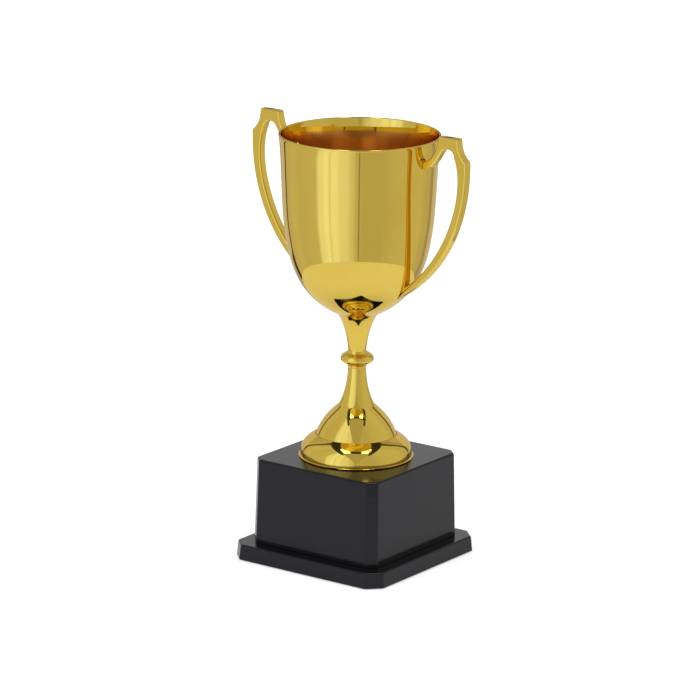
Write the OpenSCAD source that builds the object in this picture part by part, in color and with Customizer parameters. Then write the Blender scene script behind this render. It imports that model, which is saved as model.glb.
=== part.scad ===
// Cup trophy: a two-handled gold cup on a turned stem and a domed foot, clamped by one
// threaded rod to a black hollow plinth that stands on a wider foot plate.
// Millimetres. +Z is up, the origin is the middle of the plinth's footprint on the table,
// the handles lie along X and the nameplate face of the plinth looks along -Y.

/* [Plinth] */
// Width of the foot plate across its flats
plate_w = 90; // [84:1:110]
// Height of the foot plate's top above the table
plate_h = 8.3; // [7.8:0.1:10]
// Width of the plinth box where it stands on the foot plate
box_w = 75.4; // [72:0.1:78]
// Height of the plinth's top above the table
plinth_h = 51.5; // [48:0.5:60]
// How much each wall of the box leans in from bottom to top
box_draft = 0.8; // [0.3:0.1:1.5]
// Leg of the cut-off upright corners of the box
box_corner = 4.3; // [3:0.1:6]
// Leg of the cut-off upright corners of the foot plate
plate_corner = 6.6; // [4:0.1:8]
// Wall thickness of the black mouldings
shell_t = 2.2; // [1.8:0.1:2.6]

/* [Foot and stem] */
// Radius of the gold foot's lip
foot_r = 28.6; // [26:0.1:30]
// Height of the lower dome of the foot
dome_h = 11.4; // [10.5:0.1:13]
// Radius of the step where the upper tier stands on the dome
tier_r = 20.3; // [19:0.1:21.5]
// Radius of the slimmest part of the stem
neck_r = 4.45; // [4.1:0.05:5]
// Largest radius of the knop
knop_r = 8.25; // [7:0.05:9]

/* [Cup] */
// Height of the bowl's rim above the table
rim_h = 214.6; // [210:0.2:218]
// Outer radius of the rim lip
rim_r = 39.8; // [38:0.1:40.5]
// Wall thickness of the bowl
bowl_t = 1.8; // [1.5:0.1:2.2]

/* [Handles] */
// Height of the handles' flat tops above the table
handle_top = 219.8; // [218:0.2:223]
// Thickness of a handle, front to back
handle_t = 4.7; // [4.2:0.1:5.5]

/* [Fasteners] */
// Diameter of the tie rod
rod_d = 5; // [4.5:0.1:5]
// Width across flats of the nuts
nut_af = 8; // [8:0.1:9]
// Thickness of the nuts
nut_h = 4; // [3.5:0.1:4]

/* [Hidden] */
$fn = 96;
eps = 0.01;
slip = 0.05;                         // radial room of pegs and screws in their holes
press = 0.1;                         // room between mouldings that slip into each other

// heights, from the table up
skirt_z = 0.4;                       // the skirt hangs just clear of the table
cover_z = 1.8;
cover_t = 1.4;
plate_deck_t = 2.2;
tray_z = plate_h - plate_deck_t;     // underside of the foot plate's deck
box_deck_t = 2.6;
deck_z = plinth_h - box_deck_t;      // underside of the plinth's top
tier_z = plinth_h + dome_h - 0.5;    // seat of the upper tier on the dome
neck_z = plinth_h + 45.3;            // top of the lower stem, under the knop
flare_z = neck_z + 8.7;              // top of the knop, under the flare
bowl_z = flare_z + 18.9;             // underside of the bowl
floor_t = 3;                         // thickness of the bowl's floor
lip_t = 1.1;                         // the bowl's wall thins to this at the rim
lip_r = lip_t / 2;
lip_drop = 2.2;                      // the lip starts this far below the rim

// plinth details
edge_round = 1;                      // rounding of the black mouldings' edges
box_inner = box_w / 2 - shell_t;
box_top = box_w / 2 - box_draft;
boss_xy = box_inner - 4.6;
boss_r = 3.4;
pilot_r = 1.3;
pilot_depth = 12;
plate_draft = 0.5;
tray_half = plate_w / 2 - shell_t;
standoff_xy = tray_half - 5;
standoff_r = 3.2;
foot_pad_r = 5;
foot_pad_xy = plate_w / 2 - 12;
rib_l = 36;                          // ribs that centre the box on the foot plate
rib_t = 1.6;
rib_h = 1.8;
hatch_r = 11;                        // tool hole in line with the plinth nut
ballast_half = 33;
ballast_corner = 11.5;
ballast_h = 22;

// fasteners
rod_r = rod_d / 2;
bore_r = rod_r + 0.15;               // in the clamped gold pieces
swivel_r = rod_r + 0.3;              // in the plinth's top, where the cup turns
clamp_washer_t = 1.2;
lock_washer_t = 1;
bowl_washer_t = 1;
lock_z = deck_z - clamp_washer_t - lock_washer_t;
plinth_nut_z = lock_z - nut_h;
bowl_nut_z = bowl_z + floor_t + bowl_washer_t;
rod_low = plinth_nut_z - 3;
rod_high = bowl_nut_z + nut_h + 1.5;

// where the handles' pegs enter the bowl wall
upper_peg_z = rim_h - 11;
lower_peg_z = bowl_z + 16.5;
peg_r = 1.4;
upper_peg_x = rim_r - 3.2;
lower_peg_x = rim_r - 12.9;
upper_peg_l = 4.2;
lower_peg_l = 4;

gold = [0.86, 0.66, 0.16];
black = [0.05, 0.05, 0.055];
steel = [0.62, 0.63, 0.65];
cement = [0.62, 0.60, 0.56];
rubber = [0.14, 0.14, 0.14];

// a vector of the given length at an angle in an outline's plane
function ray(angle, length) = length * [cos(angle), sin(angle)];

// a smooth curve from a to b that leaves and arrives along the two given rays
function curve(a, leave, b, arrive, n = 16) =
    [for (i = [0 : n])
        let (t = i / n, s = 1 - t)
        s * s * s * a + 3 * s * s * t * (a + leave) + 3 * s * t * t * (b - arrive) + t * t * t * b];

// an arc round a centre
function arc(centre, r, from, to, n = 10) =
    [for (i = [0 : n]) centre + ray(from + (to - from) * i / n, r)];

function backwards(points) = [for (i = [len(points) - 1 : -1 : 0]) points[i]];

// a square with its corners cut off
function cut_square(half, leg) =
    let (c = half - leg)
    [[half, c], [c, half], [-c, half], [-half, c], [-half, -c], [-c, -half], [c, -half], [half, -c]];

// outlines of the turned pieces as [radius, height]; a shift moves one inwards by a wall
function dome_side(shift) = curve([foot_r - 0.75 - shift, plinth_h + 0.8], ray(90, 6),
    [tier_r - shift / 2, tier_z + 0.5 - shift], ray(149, 5.5));

function dome_outline() = concat(
    [[foot_r - 0.35, plinth_h]],
    arc([foot_r - 0.35, plinth_h + 0.35], 0.35, -60, 90, 6),
    dome_side(0));

function tier_outline() = concat(
    curve([tier_r - 0.3, tier_z + 0.5], ray(109.7, 6.3), [9.5, tier_z + 14.9], ray(139.3, 6.9)),
    curve([9.4, tier_z + 15], ray(159, 1.7), [neck_r, neck_z], ray(92, 9.6)));

function knop_outline() = concat(
    [[neck_r, neck_z]],
    arc([neck_r - 0.45, neck_z + 0.75], 0.75, -50, 50, 6),
    curve([neck_r + 0.5, neck_z + 1.7], ray(15, 1.8), [knop_r, neck_z + 4.5], ray(90, 1.5), 10),
    curve([knop_r, neck_z + 4.7], ray(90, 1.4), [neck_r + 0.7, neck_z + 7.6], ray(160, 1.6), 10),
    [[neck_r + 0.05, flare_z]]);

function flare_outline() = curve([neck_r, flare_z], ray(85.3, 9.1), [10.1, bowl_z], ray(55.6, 4.4));

// the bowl's side; the shifts move it inwards by the wall at the belly and at the lip
function bowl_side(shift, lip_shift) = concat(
    curve([10.2 - shift / 2, bowl_z + shift], ray(24.7, 23), [36.3 - shift, bowl_z + 41.4],
        ray(81.7, 14.1), 28),
    curve([36.5 - shift, bowl_z + 42.9], ray(81.7, 11), [rim_r - 0.2 - lip_shift, rim_h - lip_drop],
        ray(79.3, 7), 12));

function bowl_lip() = arc([rim_r - lip_r, rim_h - lip_r], lip_r, -40, 180, 12);

// the outline of the right handle in X and Z, clockwise from the inner end of its flat top
function handle_outline() = concat(
    [[48.2, handle_top], [59, handle_top]],
    curve([59.2, handle_top - 0.4], ray(-83, 3.7), [64.1, rim_h - 6], ray(-40, 5.9), 8),
    curve([64.2, rim_h - 6.4], ray(-88.3, 36.7), [22, bowl_z + 9.3], ray(-153, 26.7), 24),
    curve([29.1, bowl_z + 17.6], ray(33.3, 27), [57, rim_h - 4.2], ray(113.7, 19.4), 24),
    arc([53.25, rim_h - 4.2], 3.75, 10, 150, 10),
    curve([49.9, rim_h - 2.5], ray(-126, 5), [37.6, rim_h - 12.7], ray(-174, 8), 10),
    [[34, rim_h - 13], [34, rim_h - 10]],
    curve([37.5, rim_h - 9.2], ray(16, 8.5), [47.8, handle_top - 0.4], ray(80, 6.4), 10));

// a turned piece round Z; the outline starts and ends at the bore
module turned(outline) {
    rotate_extrude()
        polygon(outline);
}

module hex_nut(z) {
    nut_r = nut_af / 2 / cos(30);
    chamfer = 0.6;
    difference() {
        translate([0, 0, z])
            intersection() {
                cylinder(r = nut_r, h = nut_h, $fn = 6);
                turned([[0, 0], [nut_r - chamfer, 0], [nut_r, chamfer],
                        [nut_r, nut_h - chamfer], [nut_r - chamfer, nut_h], [0, nut_h]]);
            }
        translate([0, 0, z - 1])
            cylinder(r = rod_r + slip, h = nut_h + 2);
    }
}

module washer(z, r, thickness) {
    difference() {
        translate([0, 0, z])
            cylinder(r = r, h = thickness);
        translate([0, 0, z - 1])
            cylinder(r = rod_r + slip, h = thickness + 2);
    }
}

// a thin slice with rounded corners, for hulls
module slice(half, leg, z) {
    translate([0, 0, z])
        linear_extrude(eps)
            offset(r = edge_round, $fn = 32)
                polygon(cut_square(half - edge_round, leg - edge_round / 2));
}

// a pan-head screw that points up, with the underside of its head at z
module pan_screw(z, shank_r, shank_l, head_r, head_h) {
    translate([0, 0, z])
        cylinder(r = shank_r, h = shank_l);
    difference() {
        translate([0, 0, z - head_h])
            cylinder(r = head_r, h = head_h);
        for (a = [0, 90])
            translate([0, 0, z - head_h])
                rotate([0, 0, a])
                    cube([head_r * 1.3, 0.6, head_h], center = true);
    }
}

module at_corners(xy) {
    for (x = [-1, 1], y = [-1, 1])
        translate([x * xy, y * xy, 0])
            children();
}

module at_sides(r) {
    for (a = [0 : 90 : 270])
        rotate([0, 0, a])
            translate([r, 0, 0])
                children();
}

module bowl_form() {
    turned(concat([[0, bowl_z]], bowl_side(0, 0), [[0, rim_h - lip_drop]]));
}

module peg(x, z, r, length) {
    translate([x, 0, z])
        rotate([0, 90, 0])
            cylinder(r = r, h = length, $fn = 48);
}

module pegs(r) {
    peg(upper_peg_x, upper_peg_z, r, upper_peg_l);
    peg(lower_peg_x, lower_peg_z, r, lower_peg_l);
}

module bowl() {
    floor_top = bowl_z + floor_t;
    inside = [for (p = bowl_side(bowl_t, lip_t)) if (p[1] > floor_top + 0.3) p];
    color(gold)
        difference() {
            turned(concat([[bore_r, bowl_z]], bowl_side(0, 0), bowl_lip(), backwards(inside),
                [[inside[0][0] - 0.4, floor_top], [bore_r, floor_top]]));
            for (side = [0, 1])
                mirror([side, 0, 0])
                    pegs(peg_r + slip);
        }
}

module handle() {
    color(gold) {
        difference() {
            translate([0, handle_t / 2, 0])
                rotate([90, 0, 0])
                    linear_extrude(handle_t)
                        polygon(handle_outline());
            bowl_form();
        }
        pegs(peg_r);
    }
}

module handle_right() {
    handle();
}

module handle_left() {
    mirror([1, 0, 0])
        handle();
}

module stem_flare() {
    color(gold)
        turned(concat([[bore_r, flare_z]], flare_outline(), [[bore_r, bowl_z]]));
}

module knop() {
    color(gold)
        turned(concat([[bore_r, neck_z]], knop_outline(), [[bore_r, flare_z]]));
}

// the upper tier of the foot and the slim stem are one moulding, hollow below
module lower_stem() {
    tube_r = 5;
    hollow_top = tier_z + 9.5;
    color(gold)
        difference() {
            turned(concat([[bore_r, tier_z], [tier_r - 0.3, tier_z]], tier_outline(),
                [[bore_r, neck_z]]));
            turned([[tube_r, tier_z - 1], [tier_r - 2.3, tier_z - 1], [tier_r - 2.3, tier_z + 0.6],
                    [11.5, hollow_top - 1.5], [tube_r, hollow_top]]);
        }
}

// the lower dome, hollow below, with a tube round the rod
module foot_dome() {
    wall = 1.8;
    tube_r = 5;
    inside = [for (p = dome_side(wall)) if (p[1] < tier_z - wall) p];
    color(gold)
        difference() {
            turned(concat([[bore_r, plinth_h]], dome_outline(),
                [[tier_r - 0.3, tier_z], [bore_r, tier_z]]));
            turned(concat([[tube_r, plinth_h - 1], [foot_r - 0.75 - wall, plinth_h - 1]], inside,
                [[tube_r, tier_z - wall]]));
        }
}

module tie_rod() {
    tip = 0.5;
    color(steel)
        turned([[0, rod_low], [rod_r - tip, rod_low], [rod_r, rod_low + tip],
                [rod_r, rod_high - tip], [rod_r - tip, rod_high], [0, rod_high]]);
}

module bowl_nut() {
    color(steel)
        hex_nut(bowl_nut_z);
}

module bowl_washer() {
    color(steel)
        washer(bowl_z + floor_t, 6.2, bowl_washer_t);
}

module clamp_washer() {
    color(steel)
        washer(deck_z - clamp_washer_t, 10, clamp_washer_t);
}

// a split spring washer
module lock_washer() {
    split = 1;
    color(steel)
        difference() {
            washer(lock_z, 4.6, lock_washer_t);
            translate([0, -split / 2, lock_z - 1])
                cube([10, split, lock_washer_t + 2]);
        }
}

module plinth_nut() {
    color(steel)
        hex_nut(plinth_nut_z);
}

// the hollow box: leaning walls, a flat top with the rod's hole and four screw bosses
module plinth_box() {
    color(black)
        difference() {
            union() {
                difference() {
                    hull() {
                        slice(box_w / 2, box_corner, plate_h);
                        slice(box_top, box_corner, plinth_h - edge_round);
                        slice(box_top - 0.3, box_corner, plinth_h - 0.3 - eps);
                        slice(box_top - edge_round, box_corner, plinth_h - eps);
                    }
                    hull() {
                        slice(box_inner, box_corner, plate_h - 1);
                        slice(box_top - shell_t, box_corner, deck_z - eps);
                    }
                }
                at_corners(boss_xy)
                    translate([0, 0, plate_h])
                        cylinder(r = boss_r, h = deck_z - plate_h + 1);
            }
            translate([0, 0, deck_z - 1])
                cylinder(r = swivel_r, h = box_deck_t + 2);
            at_corners(boss_xy)
                translate([0, 0, plate_h - 1])
                    cylinder(r = pilot_r, h = pilot_depth + 1);
        }
}

// the stepped foot plate: an upturned tray with ribs that centre the box
module foot_plate() {
    color(black)
        difference() {
            union() {
                difference() {
                    hull() {
                        slice(plate_w / 2, plate_corner, skirt_z);
                        slice(plate_w / 2 - plate_draft, plate_corner, plate_h - edge_round);
                        slice(plate_w / 2 - plate_draft - 0.3, plate_corner, plate_h - 0.3 - eps);
                        slice(plate_w / 2 - plate_draft - edge_round, plate_corner, plate_h - eps);
                    }
                    translate([0, 0, -1])
                        linear_extrude(tray_z + 1)
                            polygon(cut_square(tray_half, plate_corner));
                }
                at_sides(standoff_xy)
                    translate([0, 0, cover_z + cover_t])
                        cylinder(r = standoff_r, h = tray_z - cover_z - cover_t + 1);
                at_sides(box_inner - press - rib_t)
                    translate([0, -rib_l / 2, plate_h - 1])
                        cube([rib_t, rib_l, rib_h + 1]);
            }
            translate([0, 0, tray_z - 1])
                cylinder(r = hatch_r, h = plate_deck_t + 2);
            at_corners(boss_xy)
                translate([0, 0, tray_z - 1])
                    cylinder(r = pilot_r + 0.3, h = plate_deck_t + 2);
            at_sides(standoff_xy)
                cylinder(r = pilot_r, h = tray_z + 1);
        }
}

// a cast weight that stands inside the box between the bosses
module ballast_block() {
    color(cement)
        difference() {
            translate([0, 0, plate_h])
                linear_extrude(ballast_h)
                    polygon(cut_square(ballast_half, ballast_corner));
            translate([0, 0, plate_h - 1])
                cylinder(r = hatch_r, h = ballast_h + 2);
        }
}

module box_screws() {
    color(steel)
        at_corners(boss_xy)
            pan_screw(tray_z, pilot_r - slip, plate_deck_t + pilot_depth - 2, 2.8, 1.8);
}

module bottom_cover() {
    color(black)
        difference() {
            translate([0, 0, cover_z])
                linear_extrude(cover_t)
                    polygon(cut_square(tray_half - 0.3, plate_corner));
            at_sides(standoff_xy)
                cylinder(r = pilot_r + 0.2, h = plate_h);
        }
}

module cover_screws() {
    color(steel)
        at_sides(standoff_xy)
            pan_screw(cover_z, pilot_r - slip, cover_t + 3.4, 2.6, 1.2);
}

module rubber_feet() {
    groove = 0.5;
    color(rubber)
        at_corners(foot_pad_xy)
            turned([[0, 0], [foot_pad_r - groove, 0], [foot_pad_r, groove],
                    [foot_pad_r, cover_z], [0, cover_z]]);
}

bowl();
handle_left();
handle_right();
stem_flare();
knop();
lower_stem();
foot_dome();
tie_rod();
bowl_nut();
bowl_washer();
clamp_washer();
lock_washer();
plinth_nut();
plinth_box();
foot_plate();
ballast_block();
box_screws();
bottom_cover();
cover_screws();
rubber_feet();
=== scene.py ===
import math

import bmesh
import bpy
from mathutils import Matrix, Vector


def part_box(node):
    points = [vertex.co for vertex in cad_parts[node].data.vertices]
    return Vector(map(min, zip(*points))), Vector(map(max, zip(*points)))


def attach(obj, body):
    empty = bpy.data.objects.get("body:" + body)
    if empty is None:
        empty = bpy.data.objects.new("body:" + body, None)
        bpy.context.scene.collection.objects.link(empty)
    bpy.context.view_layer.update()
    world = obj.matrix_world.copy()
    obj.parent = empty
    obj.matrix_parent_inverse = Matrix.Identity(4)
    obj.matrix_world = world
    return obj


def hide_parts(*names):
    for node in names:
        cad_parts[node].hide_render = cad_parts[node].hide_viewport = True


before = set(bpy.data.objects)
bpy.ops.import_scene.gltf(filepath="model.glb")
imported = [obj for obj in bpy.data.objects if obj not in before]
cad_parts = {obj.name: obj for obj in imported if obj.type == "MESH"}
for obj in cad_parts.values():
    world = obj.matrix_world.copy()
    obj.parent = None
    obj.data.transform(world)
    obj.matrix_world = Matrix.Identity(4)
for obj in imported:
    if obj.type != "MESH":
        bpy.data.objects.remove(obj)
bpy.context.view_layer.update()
mm = 0.001             # metres in a millimetre
samePlace = 1e-4       # points nearer than this, in millimetres, count as one


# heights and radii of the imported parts, in millimetres
def span(part):
    low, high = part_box(part)
    return {"low": low[2] / mm, "high": high[2] / mm, "half": high[0] / mm, "depth": high[1] / mm}


bowlSpan = span("bowl")
flareSpan = span("stem_flare")
knopSpan = span("knop")
stemSpan = span("lower_stem")
domeSpan = span("foot_dome")
boxSpan = span("plinth_box")
plateSpan = span("foot_plate")
handleSpan = span("handle_right")


def ray(angle, length):
    return Vector((math.cos(math.radians(angle)), math.sin(math.radians(angle)))) * length


def sweep(start, leaving, end, arriving, steps=24):
    # a curve that leaves start and reaches end along two given vectors
    a, d = Vector(start), Vector(end)
    b, c = a + leaving, d - arriving
    points = []
    for i in range(steps + 1):
        t = i / steps
        s = 1 - t
        points.append(a * s ** 3 + b * 3 * s * s * t + c * 3 * s * t * t + d * t ** 3)
    return points


def arc(centre, radius, fromAngle, toAngle, steps=8):
    middle = Vector(centre)
    return [middle + ray(fromAngle + (toAngle - fromAngle) * i / steps, radius) for i in range(steps + 1)]


def inward(points, wall):
    # the same line moved by the wall's thickness to its left side
    moved = []
    for i, p in enumerate(points):
        q = points[min(i + 1, len(points) - 1)] - points[max(i - 1, 0)]
        moved.append(p + Vector((-q.y, q.x)).normalized() * wall)
    return moved


def newPiece(name, mesh, body, *parts):
    piece = bpy.data.objects.new(name, mesh)
    bpy.context.scene.collection.objects.link(piece)
    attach(piece, body)
    if parts:
        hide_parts(*parts)
    return piece


def turned(outline, segments=256, creases=()):
    # spins a closed outline of radius and height round the stem's axis; creases are sharp points
    form = bmesh.new()
    rings = []
    for p in outline:
        rings.append([form.verts.new((p[0] * mm * math.cos(a), p[0] * mm * math.sin(a), p[1] * mm))
                      for a in (2 * math.pi * k / segments for k in range(segments))])
    for i, ring in enumerate(rings):
        above = rings[(i + 1) % len(rings)]
        for k in range(segments):
            n = (k + 1) % segments
            form.faces.new((ring[k], ring[n], above[n], above[k]))
    form.verts.index_update()
    form.edges.index_update()
    for f in form.faces:
        f.smooth = True
    for i in creases:
        ring = rings[i]
        for k in range(segments):
            form.edges.get((ring[k], ring[(k + 1) % segments])).smooth = False
    bmesh.ops.recalc_face_normals(form, faces=form.faces)
    mesh = bpy.data.meshes.new("turned")
    form.to_mesh(mesh)
    form.free()
    return mesh


def sharpCorners(outline, limit=28):
    # indexes of the outline's points where it turns by more than the limit
    found = []
    for i, p in enumerate(outline):
        before = p - outline[i - 1]
        after = outline[(i + 1) % len(outline)] - p
        if math.degrees(before.angle(after)) > limit:
            found.append(i)
    return found


def lathe(name, outline, body, part, segments=256):
    clean = [p for i, p in enumerate(outline) if (p - outline[i - 1]).length > samePlace]
    return newPiece(name, turned(clean, segments, sharpCorners(clean)), body, part)


def cutSquare(half, leg, rounding, height, steps=6):
    # a square ring with cut-off corners, each of its eight corners rounded
    c = half - leg
    corners = [(half, c), (c, half), (-c, half), (-half, c),
               (-half, -c), (-c, -half), (c, -half), (half, -c)]
    ring = []
    for i, corner in enumerate(corners):
        here = Vector(corner)
        before = (Vector(corners[i - 1]) - here).normalized()
        after = (Vector(corners[(i + 1) % 8]) - here).normalized()
        reach = rounding * math.tan(math.radians(22.5))
        start, end = here + before * reach, here + after * reach
        centre = start + Vector((before.y, -before.x)) * rounding
        a0 = math.atan2(start.y - centre.y, start.x - centre.x)
        for k in range(steps + 1):
            a = a0 + math.radians(45) * k / steps
            point = (centre.x + rounding * math.cos(a), centre.y + rounding * math.sin(a), height)
            ring.append(Vector(point) * mm)
    return ring


def loft(rings):
    # joins rings of equal count into a closed skin that returns from the last ring to the first
    form = bmesh.new()
    rows = [[form.verts.new(p) for p in ring] for ring in rings]
    count = len(rows[0])
    for i, row in enumerate(rows):
        above = rows[(i + 1) % len(rows)]
        for k in range(count):
            n = (k + 1) % count
            form.faces.new((row[k], row[n], above[n], above[k])).smooth = True
    bmesh.ops.recalc_face_normals(form, faces=form.faces)
    mesh = bpy.data.meshes.new("loft")
    form.to_mesh(mesh)
    form.free()
    return mesh


def holeRing(like, radius, height):
    # a round ring whose points lie in the same directions as another ring's
    return [Vector((p.x, p.y, 0)).normalized() * radius * mm + Vector((0, 0, height * mm)) for p in like]


def startFinish(name):
    finish = bpy.data.materials.new(name)
    finish.use_nodes = True
    nodes = finish.node_tree.nodes
    return finish, nodes, finish.node_tree.links, nodes["Principled BSDF"]


def addNode(nodes, kind, **settings):
    node = nodes.new(kind)
    for key, value in settings.items():
        setattr(node, key, value)
    return node


def grain(nodes, links, scale, detail=3.0, stretch=(1, 1, 1)):
    # noise in the object's own metres, so it keeps its size on every piece
    place = addNode(nodes, "ShaderNodeTexCoord")
    mapping = addNode(nodes, "ShaderNodeMapping")
    mapping.inputs["Scale"].default_value = stretch
    links.new(place.outputs["Object"], mapping.inputs["Vector"])
    pattern = addNode(nodes, "ShaderNodeTexNoise")
    pattern.inputs["Scale"].default_value = scale
    pattern.inputs["Detail"].default_value = detail
    links.new(mapping.outputs["Vector"], pattern.inputs["Vector"])
    return pattern.outputs["Fac"]


def ramp(nodes, links, source, stops):
    shade = addNode(nodes, "ShaderNodeValToRGB")
    elements = shade.color_ramp.elements
    while len(elements) < len(stops):
        elements.new(0.5)   # anywhere, as the stops place it below
    for element, (position, colour) in zip(elements, stops):
        element.position = position
        element.color = (*colour, 1)
    links.new(source, shade.inputs["Fac"])
    return shade.outputs["Color"]


def compare(nodes, links, source, low, high, least=0.0, most=1.0):
    # eases from one value to another while the source goes from low to high
    step = addNode(nodes, "ShaderNodeMapRange")
    for key, value in {"From Min": low, "From Max": high, "To Min": least, "To Max": most}.items():
        step.inputs[key].default_value = value
    links.new(source, step.inputs["Value"])
    return step.outputs["Result"]


noiseLow, noiseHigh = 0.3, 0.7   # noise seldom leaves this part of its range


def between(nodes, links, noise, least, most):
    return compare(nodes, links, noise, noiseLow, noiseHigh, least, most)


def shades(nodes, links, noise, dark, light):
    return ramp(nodes, links, noise, [(noiseLow, dark), (noiseHigh, light)])


def bump(nodes, links, source, distance, under=None):
    relief = addNode(nodes, "ShaderNodeBump")
    relief.inputs["Strength"].default_value = 1.0
    relief.inputs["Distance"].default_value = distance
    links.new(source, relief.inputs["Height"])
    if under:
        links.new(under, relief.inputs["Normal"])
    return relief.outputs["Normal"]


def calculate(nodes, links, operation, first, second):
    node = addNode(nodes, "ShaderNodeMath", operation=operation)
    for socket, value in zip(node.inputs, (first, second)):
        if isinstance(value, (int, float)):
            socket.default_value = value
        elif value is not None:
            links.new(value, socket)
    return node.outputs["Value"]


def mixed(nodes, links, share, first, second, kind):
    # second is a constant: a colour or a number
    mix = addNode(nodes, "ShaderNodeMix", data_type=kind)
    links.new(share, mix.inputs["Factor"])
    sockets = [socket for socket in mix.inputs if socket.enabled]
    links.new(first, sockets[1])
    sockets[2].default_value = (*second, 1) if kind == "RGBA" else second
    return [socket for socket in mix.outputs if socket.enabled][0]


# the uneven top edge of the painted shade inside the bowl
paintedShadeEdge = {
    "grain": 120,
    "wander": 0.7,         # how far the line strays up and down
    "fade": 0.6,           # and over how much height it blurs
    # a face looks inwards when its normal, times its distance from the axis, is below these
    "inwards": (-0.003, -0.001),
}


def insideBelow(nodes, links, level):
    # one on faces that look towards the axis, from a slightly uneven line downwards: the mask of the
    # painted shade inside the bowl
    place = addNode(nodes, "ShaderNodeTexCoord")
    flat = addNode(nodes, "ShaderNodeVectorMath", operation="MULTIPLY")
    links.new(place.outputs["Object"], flat.inputs[0])
    flat.inputs[1].default_value = (1, 1, 0)
    facing = addNode(nodes, "ShaderNodeVectorMath", operation="DOT_PRODUCT")
    links.new(flat.outputs["Vector"], facing.inputs[0])
    links.new(place.outputs["Normal"], facing.inputs[1])
    parts = addNode(nodes, "ShaderNodeSeparateXYZ")
    links.new(place.outputs["Object"], parts.inputs["Vector"])
    wander, fade = paintedShadeEdge["wander"] * mm, paintedShadeEdge["fade"] * mm
    uneven = between(nodes, links, grain(nodes, links, paintedShadeEdge["grain"]), -wander, wander)
    height = calculate(nodes, links, "ADD", parts.outputs["Z"], uneven)
    below = compare(nodes, links, height, level - fade, level + fade, 1, 0)
    towards = compare(nodes, links, facing.outputs["Value"], *paintedShadeEdge["inwards"], 1, 0)
    return calculate(nodes, links, "MULTIPLY", below, towards)


lacquer = {
    "coatGloss": 0.015,
    "coatIndex": 1.5,
    "tintGrain": 38,
    "hazeGrain": 420,
    "hazeDepth": 0.0006,
    "waveGrain": 60,
}


def goldLacquer(name, settings):
    # bright metal film under a tinted clear lacquer, with the soft waviness of a moulding
    finish, nodes, links, shader = startFinish(name)
    shader.inputs["Metallic"].default_value = 1.0
    shader.inputs["Coat Weight"].default_value = settings["lacquer"]
    shader.inputs["Coat Roughness"].default_value = lacquer["coatGloss"]
    shader.inputs["Coat IOR"].default_value = lacquer["coatIndex"]
    shader.inputs["Specular Tint"].default_value = settings["edgeTint"]
    tint = grain(nodes, links, lacquer["tintGrain"], 2.0)
    tones = [(0.3, settings["deep"]), (0.5, settings["colour"]), (0.72, settings["pale"])]
    colour = ramp(nodes, links, tint, tones)
    haze = grain(nodes, links, lacquer["hazeGrain"], 4.0)
    gloss = between(nodes, links, haze, settings["gloss"], settings["gloss"] + settings["haze"])
    # painted shade: faces inside the bowl, below an uneven line, get a darker brown colour and a rougher
    # gloss
    if "inside" in settings:
        inside = insideBelow(nodes, links, settings["insideFrom"] * mm)
        colour = mixed(nodes, links, inside, colour, settings["inside"], "RGBA")
        gloss = mixed(nodes, links, inside, gloss, settings["insideGloss"], "FLOAT")
    links.new(colour, shader.inputs["Base Color"])
    links.new(gloss, shader.inputs["Roughness"])
    flow = grain(nodes, links, lacquer["waveGrain"], 1.0, settings["flow"])
    wave = bump(nodes, links, flow, settings["waviness"] * mm)
    skin = bump(nodes, links, haze, lacquer["hazeDepth"] * mm, wave)
    links.new(skin, shader.inputs["Normal"])
    return finish


goldBowlLook = {"colour": (0.87, 0.615, 0.088), "deep": (0.85, 0.59, 0.08), "pale": (0.89, 0.635, 0.096),
                "edgeTint": (0.86, 0.76, 0.6, 1), "lacquer": 0.25, "gloss": 0.03, "haze": 0.02,
                "flow": (1, 1, 0.25), "waviness": 0.02,
                # painted shade: inside the bowl the colour is a darker brown, and the gloss rougher, up to
                # this height
                "inside": (0.75, 0.46, 0.2), "insideGloss": 0.12, "insideFrom": 208.2}
goldTrimLook = {"colour": (0.87, 0.61, 0.085), "deep": (0.85, 0.585, 0.077), "pale": (0.89, 0.63, 0.093),
                "edgeTint": (0.86, 0.76, 0.6, 1), "lacquer": 0.25, "gloss": 0.04, "haze": 0.03,
                "flow": (1, 1, 1), "waviness": 0.014}
goldBowl = goldLacquer("goldBowlLacquer", goldBowlLook)
goldTrim = goldLacquer("goldTrimLacquer", goldTrimLook)


plastic = {
    "index": 1.5,
    "shadeGrain": 30,
    "scuffGrain": 90,
    "scuffStretch": (1, 1, 5),
    "skinGrain": 140,
}


def blackPlastic(name, settings):
    finish, nodes, links, shader = startFinish(name)
    shader.inputs["IOR"].default_value = plastic["index"]
    shader.inputs["Specular IOR Level"].default_value = settings["sheen"]
    shade = grain(nodes, links, plastic["shadeGrain"])
    links.new(shades(nodes, links, shade, settings["dark"], settings["light"]), shader.inputs["Base Color"])
    scuffs = grain(nodes, links, plastic["scuffGrain"], 6.0, plastic["scuffStretch"])
    gloss = between(nodes, links, scuffs, settings["gloss"], settings["gloss"] + settings["scuff"])
    links.new(gloss, shader.inputs["Roughness"])
    skin = bump(nodes, links, grain(nodes, links, plastic["skinGrain"], 2.0), settings["skin"] * mm)
    links.new(skin, shader.inputs["Normal"])
    return finish


plinthLook = {"dark": (0.003, 0.003, 0.0036), "light": (0.005, 0.005, 0.006), "sheen": 0.35,
              "gloss": 0.10, "scuff": 0.10, "skin": 0.004}
plinthBlack = blackPlastic("plinthBlackPlastic", plinthLook)
coverLook = {"dark": (0.016, 0.016, 0.016), "light": (0.028, 0.028, 0.028), "sheen": 0.5,
             "gloss": 0.45, "scuff": 0.2, "skin": 0.03}
coverBlack = blackPlastic("coverBlackSheet", coverLook)


zincLook = {
    "cool": (0.58, 0.60, 0.64),
    "warm": (0.66, 0.65, 0.60),
    "cloudGrain": 300,
    "gloss": 0.22,
    "glossSpread": 0.15,
    "brushGrain": 2500,
    "brushStretch": (1, 1, 0.2),
    "brushDepth": 0.004,
}


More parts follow.
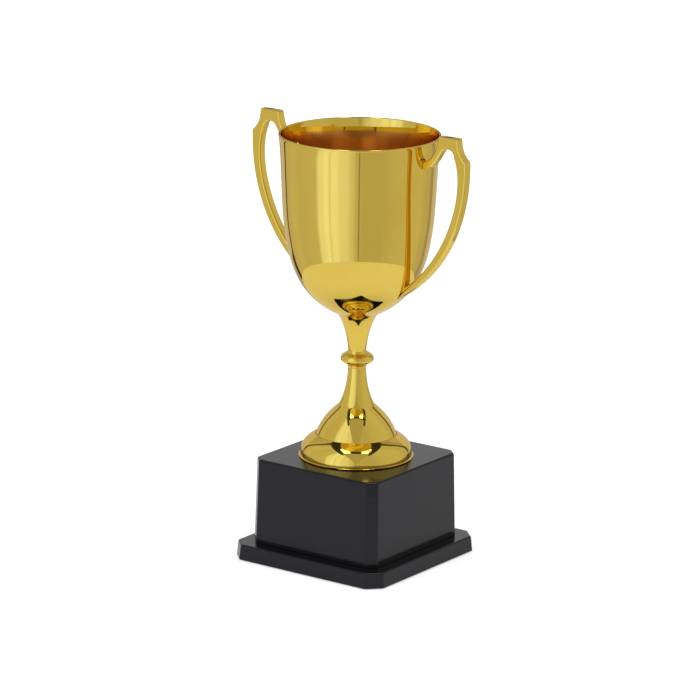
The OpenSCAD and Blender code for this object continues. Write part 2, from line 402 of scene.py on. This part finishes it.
def plated(name, settings):
    # bright zinc with a faint blue-yellow passivation
    finish, nodes, links, shader = startFinish(name)
    shader.inputs["Metallic"].default_value = 1.0
    cloud = grain(nodes, links, settings["cloudGrain"])
    links.new(ramp(nodes, links, cloud, [(0.35, settings["cool"]), (0.65, settings["warm"])]),
              shader.inputs["Base Color"])
    gloss = between(nodes, links, cloud, settings["gloss"], settings["gloss"] + settings["glossSpread"])
    links.new(gloss, shader.inputs["Roughness"])
    brushed = grain(nodes, links, settings["brushGrain"], 2.0, settings["brushStretch"])
    links.new(bump(nodes, links, brushed, settings["brushDepth"] * mm), shader.inputs["Normal"])
    return finish


zincSteel = plated("zincPlatedSteel", zincLook)

cementLook = {
    "dark": (0.34, 0.32, 0.29),
    "light": (0.55, 0.53, 0.49),
    "lumpGrain": 220,
    "lumpDepth": 0.3,
    "gloss": 0.9,
}


def castStone(name, settings):
    finish, nodes, links, shader = startFinish(name)
    lumps = grain(nodes, links, settings["lumpGrain"], 8.0)
    links.new(shades(nodes, links, lumps, settings["dark"], settings["light"]), shader.inputs["Base Color"])
    shader.inputs["Roughness"].default_value = settings["gloss"]
    links.new(bump(nodes, links, lumps, settings["lumpDepth"] * mm), shader.inputs["Normal"])
    return finish


castCement = castStone("castCement", cementLook)

rubberLook = {
    "black": (0.018, 0.018, 0.018),
    "dusty": (0.06, 0.058, 0.055),
    "dustGrain": 500,
    "dustDepth": 0.05,
    "gloss": 0.75,
}


def footRubber(name, settings):
    finish, nodes, links, shader = startFinish(name)
    dust = grain(nodes, links, settings["dustGrain"], 5.0)
    links.new(ramp(nodes, links, dust, [(0.4, settings["black"]), (0.8, settings["dusty"])]),
              shader.inputs["Base Color"])
    shader.inputs["Roughness"].default_value = settings["gloss"]
    links.new(bump(nodes, links, dust, settings["dustDepth"] * mm), shader.inputs["Normal"])
    return finish


softRubber = footRubber("softFootRubber", rubberLook)


def dress(piece, finish):
    piece.data.materials.clear()
    piece.data.materials.append(finish)


print("finishes ready")


# the curves below leave and arrive along an angle from the horizontal, in degrees, and a length
bowl = {
    "wall": 1.8,           # thickness of the moulding, thinner at the lip
    "lip": 1.1,
    "lipDrop": 2.2,
    "lipFrom": -35,
    "thinning": 26,        # how far below the rim the wall starts to thin
    "floorThick": 3.0,
    "boreRadius": 2.65,
    "seatRadius": 10.2,    # where the bowl leaves its seat on the stem
    "shoulder": (36.3, 41.4),   # radius, and height above the seat, where the belly becomes the side
    "seatLeave": (24.7, 23),
    "bellyArrive": (81.7, 14.1),
    "bellySteps": 72,
    "sideGap": (0.2, 1.5),
    "sideLeave": (81.7, 11),
    "rimArrive": (79.3, 7),
    "sideSteps": 48,
    "cove": [(0.5, 0.08), (1.2, 0)],   # where the wall runs into the floor: inwards, and up
    "segments": 320,
}


def bowlSide():
    seat = bowlSpan["low"]
    radius, height = bowl["shoulder"]
    out, up = bowl["sideGap"]
    lipFoot = (bowlSpan["half"] - out, bowlSpan["high"] - bowl["lipDrop"])
    belly = sweep((bowl["seatRadius"], seat), ray(*bowl["seatLeave"]),
                  (radius, seat + height), ray(*bowl["bellyArrive"]), bowl["bellySteps"])
    side = sweep((radius + out, seat + height + up), ray(*bowl["sideLeave"]),
                 lipFoot, ray(*bowl["rimArrive"]), bowl["sideSteps"])
    return belly + side


def bowlInside(outer, floorTop):
    # the wall keeps its thickness up the belly and thins over the last part of the way to the lip
    thinFrom = bowlSpan["high"] - bowl["thinning"]
    inner = []
    for p, q in zip(outer, inward(outer, 1.0)):
        share = min(max((p.y - thinFrom) / bowl["thinning"], 0), 1)
        wall = bowl["wall"] + (bowl["lip"] - bowl["wall"]) * share
        inner.append(p + (q - p) * wall)
    return [p for p in inner if p.y > floorTop + 0.3 and p.x > 0]


def makeBowl():
    outer = bowlSide()
    top, half, lip = bowlSpan["high"], bowlSpan["half"], bowl["lip"] / 2
    lipLine = arc((half - lip, top - lip), lip, bowl["lipFrom"], 180, 14)
    floorTop = bowlSpan["low"] + bowl["floorThick"]
    inner = bowlInside(outer, floorTop)
    cove = [Vector((inner[0].x - inwards, floorTop + up)) for inwards, up in bowl["cove"]]
    start, end = Vector((bowl["boreRadius"], bowlSpan["low"])), Vector((bowl["boreRadius"], floorTop))
    outline = [start] + outer + lipLine + inner[::-1] + cove + [end]
    piece = lathe("bowlShell", outline, "cup", "bowl", bowl["segments"])
    dress(piece, goldBowl)


makeBowl()
print("bowl turned")


stem = {
    "boreRadius": 2.65,
    "neckRadius": 4.45,
}


def closeOnBore(points):
    bore = stem["boreRadius"]
    return [Vector((bore, points[0].y))] + points + [Vector((bore, points[-1].y))]


flare = {
    "topRadius": 10.1,
    "neckLeave": (85.3, 9.1),
    "topArrive": (55.6, 4.4),
}


def makeFlare():
    line = sweep((stem["neckRadius"], flareSpan["low"]), ray(*flare["neckLeave"]),
                 (flare["topRadius"], flareSpan["high"]), ray(*flare["topArrive"]), 48)
    piece = lathe("stemFlare", closeOnBore(line), "cup", "stem_flare")
    dress(piece, goldTrim)


knop = {
    "collarRound": 0.75,   # a small roll under the ring
    "collarSink": 0.45,    # how far inside the neck its centre lies
    "collarSpread": 50,
    "underFrom": (0.5, 1.7),    # out from the neck, and up from the knop's foot
    "underLeave": (15, 1.8),
    "underTo": 4.5,
    "underArrive": (90, 1.5),
    "overFrom": 4.7,
    "overLeave": (90, 1.4),
    "overTo": (0.7, 7.6),
    "overArrive": (160, 1.6),
}


def makeKnop():
    low, neck, widest = knopSpan["low"], stem["neckRadius"], knopSpan["half"]
    roll, spread = knop["collarRound"], knop["collarSpread"]
    underOut, underUp = knop["underFrom"]
    overOut, overUp = knop["overTo"]
    collar = arc((neck - knop["collarSink"], low + roll), roll, -spread, spread, 10)
    under = sweep((neck + underOut, low + underUp), ray(*knop["underLeave"]),
                  (widest, low + knop["underTo"]), ray(*knop["underArrive"]), 20)
    over = sweep((widest, low + knop["overFrom"]), ray(*knop["overLeave"]),
                 (neck + overOut, low + overUp), ray(*knop["overArrive"]), 20)
    line = [Vector((neck, low))] + collar + under + over + [Vector((neck + 0.05, knopSpan["high"]))]
    piece = lathe("stemKnop", closeOnBore(line), "cup", "knop")
    dress(piece, goldTrim)


lowerStem = {
    "seat": 0.5,           # the straight edge that stands in the dome
    "tierLeave": (109.7, 6.3),
    "knee": (9.5, 14.9),   # radius and height where the upper tier turns into the slim stem
    "tierArrive": (139.3, 6.9),
    "kneeGap": 0.1,
    "slimLeave": (142, 2.2),
    "slimArrive": (92, 9.6),
}


def makeLowerStem():
    low, wide = stemSpan["low"], stemSpan["half"]
    radius, height = lowerStem["knee"]
    gap = lowerStem["kneeGap"]
    tier = sweep((wide, low + lowerStem["seat"]), ray(*lowerStem["tierLeave"]),
                 (radius, low + height), ray(*lowerStem["tierArrive"]), 40)
    slim = sweep((radius - gap, low + height + gap), ray(*lowerStem["slimLeave"]),
                 (stem["neckRadius"], stemSpan["high"]), ray(*lowerStem["slimArrive"]), 56)
    piece = lathe("lowerStem", closeOnBore([Vector((wide, low))] + tier + slim), "cup", "lower_stem")
    dress(piece, goldTrim)


dome = {
    "wall": 1.8,
    "lip": [(-0.8, 0), (-0.5, 0), (-0.05, 0.4), (0, 0.5), (-0.15, 0.62)],   # from the widest line, and up
    "bellyFoot": (-0.75, 0.8),
    "footLeave": (90, 6),
    "topArrive": (149, 5.5),
    "ledge": 0.3,          # round the tier that stands in it
    "seatDepth": 0.5,
    "tubeRadius": 5.0,
}


def makeDome():
    low, high, wide = domeSpan["low"], domeSpan["high"], domeSpan["half"]
    out, up = dome["bellyFoot"]
    lip = [Vector((wide + x, low + z)) for x, z in dome["lip"]]
    belly = sweep((wide + out, low + up), ray(*dome["footLeave"]),
                  (stemSpan["half"] + dome["ledge"], high), ray(*dome["topArrive"]), 48)
    seat = high - dome["seatDepth"]
    ceiling = seat - dome["wall"]
    inside = [p for p in inward(belly, dome["wall"]) if p.y < ceiling]
    bore, tube = stem["boreRadius"], dome["tubeRadius"]
    core = [(stemSpan["half"], seat), (bore, seat), (bore, low), (tube, low), (tube, ceiling)]
    foot = Vector((wide + out - dome["wall"], low))
    line = lip + belly + [Vector(corner) for corner in core] + inside[::-1] + [foot]
    piece = lathe("footDome", line, "cup", "foot_dome")
    dress(piece, goldTrim)


makeFlare()
makeKnop()
makeLowerStem()
makeDome()
print("stem and foot turned")


handle = {
    "edge": 0.8,           # rounding of the long edges
    "edgeSteps": 5,
    "edgeAngle": 86,       # corners that turn by less aren't rounded
    "bury": 0.9,           # how far the arms sink into the bowl's wall
    "apart": 0.85,         # least distance between two points of the outline
    "flatTop": (48.2, 59),
    "archCentre": (53.25, "rim", -4.2),   # top of the finger hole
    "archRadius": 3.75,
    "archTurn": (10, 150),
    "pegRadius": 1.4,
    "pegReach": 1.2,       # out into the arms
    "pegHead": 1.05,       # depth inside, in wall thicknesses
    "upperPeg": 11.0,      # below the rim
    "lowerPeg": 16.5,      # above the bowl's underside
}

# each stretch: start (radius, level, height from that level), how it leaves, end, how it arrives, steps
handleStretches = {
    "shoulder": ((59.2, "top", -0.4), (-83, 3.7), (64.15, "rim", -6), (-40, 5.9), 14),
    "back": ((64.2, "rim", -6.4), (-88.3, 36.7), (22, "seat", 9.3), (-153, 26.7), 80),
    "gap": ((29.1, "seat", 17.6), (33.3, 27), (57, "rim", -4.2), (113.7, 19.4), 70),
    "armUnder": ((49.9, "rim", -2.5), (-126, 5), (37.6, "rim", -12.7), (-174, 8), 20),
    "armTop": ((37.5, "rim", -9.2), (16, 8.5), (47.8, "top", -0.4), (80, 6.4), 20),
}


def wallAt(height, depth):
    # radius of the bowl's outer wall at a height, less a depth
    side = bowlSide()
    for a, b in zip(side, side[1:]):
        if a.y <= height <= b.y:
            return a.x + (b.x - a.x) * (height - a.y) / (b.y - a.y) - depth
    return side[-1].x - depth


def outsideWall(points):
    return [p for p in points if p.x > wallAt(p.y, handle["bury"])]


def handlePoint(radius, level, above):
    levels = {"top": handleSpan["high"], "rim": bowlSpan["high"], "seat": bowlSpan["low"]}
    return Vector((radius, levels[level] + above))


def handleStretch(name):
    start, leaving, end, arriving, steps = handleStretches[name]
    return sweep(handlePoint(*start), ray(*leaving), handlePoint(*end), ray(*arriving), steps)


def handleOutline():
    flatTop = [handlePoint(radius, "top", 0) for radius in handle["flatTop"]]
    arch = arc(handlePoint(*handle["archCentre"]), handle["archRadius"], *handle["archTurn"], 12)
    line = (flatTop + handleStretch("shoulder") + outsideWall(handleStretch("back"))
            + outsideWall(handleStretch("gap")) + arch + outsideWall(handleStretch("armUnder"))
            + outsideWall(handleStretch("armTop")))
    return spaced(line, handle["apart"])


def spaced(points, least):
    # leaves out points that crowd the one before, so the long edges can be rounded evenly
    kept = [points[0]]
    for p in points[1:]:
        if (p - kept[-1]).length > least:
            kept.append(p)
    while (kept[-1] - kept[0]).length < least:
        kept.pop()
    return kept


def makeHandle(name, side, part):
    form = bmesh.new()
    thick = handleSpan["depth"]
    outline = handleOutline()
    front = [form.verts.new((side * p.x * mm, -thick * mm, p.y * mm)) for p in outline]
    back = [form.verts.new((side * p.x * mm, thick * mm, p.y * mm)) for p in outline]
    form.faces.new(front)
    form.faces.new(back[::-1])
    count = len(outline)
    for i in range(count):
        n = (i + 1) % count
        form.faces.new((front[i], back[i], back[n], front[n]))
    bmesh.ops.recalc_face_normals(form, faces=form.faces)
    for f in form.faces:
        f.smooth = True
    addPegs(form, side)
    mesh = bpy.data.meshes.new(name)
    form.to_mesh(mesh)
    form.free()
    piece = newPiece(name, mesh, "cup", part)
    rounding = piece.modifiers.new("roundedEdges", "BEVEL")
    rounding.width = handle["edge"] * mm
    rounding.segments = handle["edgeSteps"]
    rounding.limit_method = "ANGLE"
    rounding.angle_limit = math.radians(handle["edgeAngle"])
    rounding.use_clamp_overlap = False
    level = piece.modifiers.new("flatFaces", "WEIGHTED_NORMAL")
    level.keep_sharp = True
    dress(piece, goldTrim)


def addPegs(form, side):
    # the pegs run through the wall and end in low heat-formed heads inside the bowl
    radius = handle["pegRadius"] * mm
    spin = Matrix.Rotation(math.radians(90), 4, "Y")
    for height in (bowlSpan["high"] - handle["upperPeg"], bowlSpan["low"] + handle["lowerPeg"]):
        outside = wallAt(height, -handle["pegReach"])
        inside = wallAt(height, bowl["wall"] * handle["pegHead"])
        centre = (outside + inside) / 2 * side
        bmesh.ops.create_cone(form, cap_ends=True, segments=32, radius1=radius, radius2=radius,
                              depth=(outside - inside) * mm,
                              matrix=Matrix.Translation((centre * mm, 0, height * mm)) @ spin)


makeHandle("handleRight", 1, "handle_right")
makeHandle("handleLeft", -1, "handle_left")
print("handles made")


plinth = {
    "wall": 2.2,
    "deck": 2.6,
    "corner": 4.3,         # leg of the box's cut-off corners
    "cornerRound": 1.4,
    "innerRound": 0.5,     # of the hollow's corners
    "topRound": 1.0,
    "draft": 0.8,
    "foot": 0.3,           # height of the straight strip at the bottom
    "rodHole": 2.8,
    "underDome": 6,        # how far inside the dome's edge the deck's mesh changes from square to round
}
plate = {
    "corner": 6.6,
    "cornerRound": 1.2,
    "edgeRound": 0.9,
    "draft": 0.5,
    "deck": 2.2,
    "foot": 0.3,           # height and width of the small chamfer at the bottom
    "hatch": 11.0,
    "underBox": 1.5,
}


def roundedTop(half, leg, rounding, top, edge, steps=6):
    # rings that turn a wall over into a flat top; the corners tighten a little on the way in
    tighten, least = 0.4, 0.3
    rings = []
    for k in range(steps + 1):
        a = math.radians(90) * k / steps
        inset = edge * (1 - math.cos(a))
        softness = max(rounding - inset * tighten, least)
        rings.append(cutSquare(half - inset, leg, softness, top - edge + edge * math.sin(a)))
    return rings


def flatSided(name, rings, part):
    piece = newPiece(name, loft(rings), "plinth", part)
    level = piece.modifiers.new("flatFaces", "WEIGHTED_NORMAL")
    level.weight = 100
    dress(piece, plinthBlack)


def makeBox():
    low, high, half = boxSpan["low"], boxSpan["high"], boxSpan["half"]
    leg, rounding, wall = plinth["corner"], plinth["cornerRound"], plinth["wall"]
    topHalf, ceiling = half - plinth["draft"], high - plinth["deck"]
    rings = [cutSquare(half, leg, rounding, low), cutSquare(half, leg, rounding, low + plinth["foot"])]
    rings += roundedTop(topHalf, leg, rounding, high, plinth["topRound"])
    rings.append(holeRing(rings[0], domeSpan["half"] - plinth["underDome"], high))
    rings.append(holeRing(rings[0], plinth["rodHole"], high))
    rings.append(holeRing(rings[0], plinth["rodHole"], ceiling))
    rings.append(cutSquare(topHalf - wall, leg, plinth["innerRound"], ceiling))
    rings.append(cutSquare(half - wall, leg, plinth["innerRound"], low))
    flatSided("plinthBox", rings, "plinth_box")


def makePlate():
    low, high, half = plateSpan["low"], boxSpan["low"], plateSpan["half"]
    leg, rounding, foot = plate["corner"], plate["cornerRound"], plate["foot"]
    inner, ceiling = half - plinth["wall"], high - plate["deck"]
    rings = [cutSquare(half - foot, leg, rounding, low), cutSquare(half, leg, rounding, low + foot)]
    rings += roundedTop(half - plate["draft"], leg, rounding, high, plate["edgeRound"])
    seat = boxSpan["half"] - plate["underBox"]
    rings.append(cutSquare(seat, plinth["corner"], plinth["cornerRound"], high))
    rings.append(holeRing(rings[0], plate["hatch"], high))
    rings.append(holeRing(rings[0], plate["hatch"], ceiling))
    rings.append(cutSquare(inner, leg, plinth["innerRound"], ceiling))
    rings.append(cutSquare(inner, leg, plinth["innerRound"], low))
    flatSided("footPlate", rings, "foot_plate")


makeBox()
makePlate()
print("plinth made")


fittings = {
    "tie_rod": zincSteel, "bowl_nut": zincSteel, "bowl_washer": zincSteel, "clamp_washer": zincSteel,
    "lock_washer": zincSteel, "plinth_nut": zincSteel, "box_screws": zincSteel, "cover_screws": zincSteel,
    "ballast_block": castCement, "bottom_cover": coverBlack, "rubber_feet": softRubber,
}
for part, finish in fittings.items():
    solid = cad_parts[part]
    solid.data.materials.clear()
    solid.data.materials.append(finish)
print("fittings finished")


table = {
    "radius": 0.258,       # a round shooting table inside a light tent
    "paint": (0.88, 0.88, 0.88, 1),
    "roughness": 0.9,
    "shine": 0.1,
    "glow": 0.5,
    "glowReflected": 0.14,
}


def setPiece(name, mesh):
    thing = bpy.data.objects.new(name, mesh)
    bpy.context.scene.collection.objects.link(thing)
    return thing


def makeTable():
    form = bmesh.new()
    bmesh.ops.create_circle(form, cap_ends=True, segments=128, radius=table["radius"])
    mesh = bpy.data.meshes.new("paleTable")
    form.to_mesh(mesh)
    form.free()
    top = setPiece("paleTable", mesh)
    finish, nodes, links, shader = startFinish("palePaint")
    shader.inputs["Base Color"].default_value = table["paint"]
    shader.inputs["Roughness"].default_value = table["roughness"]
    shader.inputs["Specular IOR Level"].default_value = table["shine"]
    shader.inputs["Emission Color"].default_value = (1, 1, 1, 1)
    seen = addNode(nodes, "ShaderNodeLightPath")
    glow = compare(nodes, links, seen.outputs["Is Camera Ray"], 0, 1, table["glowReflected"], table["glow"])
    links.new(glow, shader.inputs["Emission Strength"])
    mesh.materials.append(finish)


# a low paper card behind the table that the plinth's top and the sides of the bowl mirror
card = {
    "behind": 0.32,
    "width": 0.6,
    "height": 0.235,
    "glow": 0.68,
}


def makeCard():
    half = card["width"] / 2
    form = bmesh.new()
    corners = [(-half, 0), (half, 0), (half, card["height"]), (-half, card["height"])]
    form.faces.new([form.verts.new((x, card["behind"], z)) for x, z in corners])
    mesh = bpy.data.meshes.new("paperCard")
    form.to_mesh(mesh)
    form.free()
    sheet = setPiece("paperCard", mesh)
    sheet.rotation_euler.z = math.radians(camera["turn"])
    sheet.visible_camera = False
    finish, nodes, links, shader = startFinish("paper")
    shader.inputs["Base Color"].default_value = (0, 0, 0, 1)
    shader.inputs["Specular IOR Level"].default_value = 0
    shader.inputs["Emission Color"].default_value = (1, 1, 1, 1)
    shader.inputs["Emission Strength"].default_value = card["glow"]
    mesh.materials.append(finish)


camera = {
    "turn": 35.695,        # degrees round the cup from the plinth's front face
    "distance": 1.97595,
    "height": 0.63423,
    "aimTurn": 35.799,
    "pitch": 14.987,
    "roll": 0.667,
    "lens": 212.92,
    "sensor": 36,
}


def makeCamera():
    eye = bpy.data.cameras.new("studioCamera")
    eye.lens = camera["lens"]
    eye.sensor_width = camera["sensor"]
    holder = bpy.data.objects.new("studioCamera", eye)
    turn = math.radians(camera["turn"])
    spot = Vector((math.sin(turn), -math.cos(turn), 0)) * camera["distance"]
    spot.z = camera["height"]
    aim = (Matrix.Rotation(math.radians(camera["aimTurn"]), 4, "Z")
           @ Matrix.Rotation(math.radians(90 - camera["pitch"]), 4, "X")
           @ Matrix.Rotation(math.radians(camera["roll"]), 4, "Z"))
    holder.matrix_world = Matrix.Translation(spot) @ aim
    bpy.context.scene.collection.objects.link(holder)
    bpy.context.scene.camera = holder


# The tent: brightness of its parts, and where they lie. Directions are degrees round from where the
# camera stands. Heights are sines of the angle above the table. The open roof is measured as on a flat
# sheet one unit above the cup: sideways, and forward to the camera.
tent = {
    "backdrop": 1.2,
    "edge": 0.02,          # each part fades out over this much, in its own measure
    "roof": 0.035,
    "roofSide": 0.47,
    "roofBack": -0.5,
    "roofFront": 0.55,
    "roofFrom": 0.2,       # least height of the roof and its lamps
    "flap": 0.46,          # the strip of cloth that hangs from the roof down to the lens
    "flapSide": 0.37,
    "flapFrom": 0.34,
    "flapTo": 90,          # just above the horizon
    "lamp": 4.0,           # the two lamps over the open roof
    "lampInner": 0.15,
    "lampOuter": 0.3,
    "lampBack": -0.1,
    "lampFront": 0.28,
    "seam": 0.07,          # dark gaps between the walls
    "seamFrom": 132.5,
    "seamTo": 136,
    "seamTop": 0.85,
    "leftGap": 0.05,
    "leftGapFrom": -146.5,
    "leftGapTo": -138,
    "room": 0.13,          # the dark room over the paper card
    "roomFrom": 143,
    "roomLow": 0.16,
    "roomHigh": 0.23,
    "slit": 0.3,           # the gap that the lens looks through
    "slitHalf": 0.5,
    "slitTop": 2,          # degrees
    "lowest": -0.9,        # the slit and the left gap don't reach straight down
    "flattest": 0.01,      # least height in the roof's measures, which grow without end at the horizon
    "cool": (0, 0.13, 0.65),   # what the coolest cloth adds to its red, green and blue
    # the walls all the way round: direction, brightness and coolness
    "walls": [
        (-180, 0.5, 0), (-149, 0.47, 0), (-135, 0.58, 0), (-115, 0.64, 0), (-100, 0.59, 0),
        (-68, 0.64, 0), (-62, 0.93, 1), (-58, 0.89, 1), (-51, 1.02, 1), (-47, 1.0, 1),
        (-45, 0.82, 0.6), (-42, 0.97, 1), (-34, 0.97, 1), (-29, 0.86, 0.8), (-18, 0.84, 0.8),
        (-13, 0.74, 0.6), (-8, 0.69, 0.4), (-5, 0.58, 0.2), (1, 0.6, 0), (4, 0.54, 0),
        (35, 0.53, 0), (55, 0.6, 0), (106, 0.64, 0), (118, 0.56, 0), (127, 0.58, 0),
        (134, 0.42, 0), (139, 0.4, 0), (146, 0.54, 0), (180, 0.5, 0),
    ],
}


def within(nodes, links, *limits):
    # one where every source lies between its two limits, easing to nothing just outside them;
    # a limit that is None doesn't count
    steps = []
    for source, low, high in limits:
        if low is not None:
            steps.append(compare(nodes, links, source, low - tent["edge"], low))
        if high is not None:
            steps.append(compare(nodes, links, source, high, high + tent["edge"], 1, 0))
    share = steps[0]
    for step in steps[1:]:
        share = calculate(nodes, links, "MULTIPLY", share, step)
    return share


def tentWalls(nodes, links, direction):
    around = compare(nodes, links, direction, -math.pi, math.pi)
    stops = []
    for degrees, level, cool in tent["walls"]:
        tint = [level * (1 + share * cool) for share in tent["cool"]]
        stops.append(((degrees + 180) / 360, tint))
    return ramp(nodes, links, around, stops)


def makeTent():
    world = bpy.data.worlds.new("lightTent")
    world.use_nodes = True
    nodes, links = world.node_tree.nodes, world.node_tree.links
    cloth = nodes["Background"]
    around = addNode(nodes, "ShaderNodeTexCoord")
    facing = addNode(nodes, "ShaderNodeMapping")
    facing.inputs["Rotation"].default_value = (0, 0, -math.radians(camera["turn"]))
    links.new(around.outputs["Generated"], facing.inputs["Vector"])
    parts = addNode(nodes, "ShaderNodeSeparateXYZ")
    links.new(facing.outputs["Vector"], parts.inputs["Vector"])
    toRight, height = parts.outputs["X"], parts.outputs["Z"]
    toCamera = calculate(nodes, links, "MULTIPLY", parts.outputs["Y"], -1)
    direction = calculate(nodes, links, "ARCTAN2", toRight, toCamera)
    aside = calculate(nodes, links, "ABSOLUTE", direction, None)
    above = calculate(nodes, links, "MAXIMUM", height, tent["flattest"])
    acrossRoof = calculate(nodes, links, "ABSOLUTE", toRight, None)
    sideways = calculate(nodes, links, "DIVIDE", acrossRoof, above)
    forward = calculate(nodes, links, "DIVIDE", toCamera, above)

    turns = {key: math.radians(tent[key]) for key in ("slitHalf", "roomFrom", "seamFrom", "seamTo",
                                                      "leftGapFrom", "leftGapTo")}
    slitTop = math.sin(math.radians(tent["slitTop"]))
    regions = {
        "slit": ((aside, None, turns["slitHalf"]), (height, tent["lowest"], slitTop)),
        "room": ((aside, turns["roomFrom"], None), (height, tent["roomLow"], tent["roomHigh"])),
        "seam": ((aside, turns["seamFrom"], turns["seamTo"]), (height, 0, tent["seamTop"])),
        "leftGap": ((direction, turns["leftGapFrom"], turns["leftGapTo"]), (height, tent["lowest"], 0)),
        "roof": ((sideways, None, tent["roofSide"]), (forward, tent["roofBack"], tent["roofFront"]),
                 (height, tent["roofFrom"], None)),
        "flap": ((sideways, None, tent["flapSide"]), (forward, tent["flapFrom"], tent["flapTo"])),
        "lamp": ((sideways, tent["lampInner"], tent["lampOuter"]),
                 (forward, tent["lampBack"], tent["lampFront"]), (height, tent["roofFrom"], None)),
    }
    colour = tentWalls(nodes, links, direction)
    for name, limits in regions.items():   # later parts hide earlier ones
        grey = (tent[name],) * 3
        colour = mixed(nodes, links, within(nodes, links, *limits), colour, grey, "RGBA")
    links.new(colour, cloth.inputs["Color"])

    backdrop = addNode(nodes, "ShaderNodeBackground")
    backdrop.inputs["Color"].default_value = (1, 1, 1, 1)
    backdrop.inputs["Strength"].default_value = tent["backdrop"]
    seen = addNode(nodes, "ShaderNodeLightPath")
    choose = addNode(nodes, "ShaderNodeMixShader")
    links.new(seen.outputs["Is Camera Ray"], choose.inputs[0])
    links.new(cloth.outputs["Background"], choose.inputs[1])
    links.new(backdrop.outputs["Background"], choose.inputs[2])
    links.new(choose.outputs["Shader"], nodes["World Output"].inputs["Surface"])
    bpy.context.scene.world = world


overhead = {
    "away": 0.05,          # towards the camera from over the cup
    "height": 1.3,
    "width": 0.9,
    "bright": 1.4,
    "aimHeight": 0.12,
}


def makeOverhead():
    lamp = bpy.data.lights.new("overhead", "AREA")
    lamp.shape = "SQUARE"
    lamp.size = overhead["width"]
    lamp.energy = overhead["bright"] * math.pi * overhead["width"] ** 2
    holder = bpy.data.objects.new("overhead", lamp)
    turn, away = math.radians(camera["turn"]), overhead["away"]
    spot = Vector((math.sin(turn) * away, -math.cos(turn) * away, overhead["height"]))
    holder.location = spot
    aim = Vector((0, 0, overhead["aimHeight"])) - spot
    holder.rotation_euler = aim.to_track_quat("-Z", "Y").to_euler()
    holder.visible_camera = False
    holder.visible_glossy = False
    bpy.context.scene.collection.objects.link(holder)


makeTable()
makeCard()
makeCamera()
makeTent()
makeOverhead()
bpy.context.scene.view_settings.view_transform = "Standard"
bpy.context.scene.cycles.glossy_bounces = 10   # the film mirrors itself many times inside the bowl
print("studio ready")
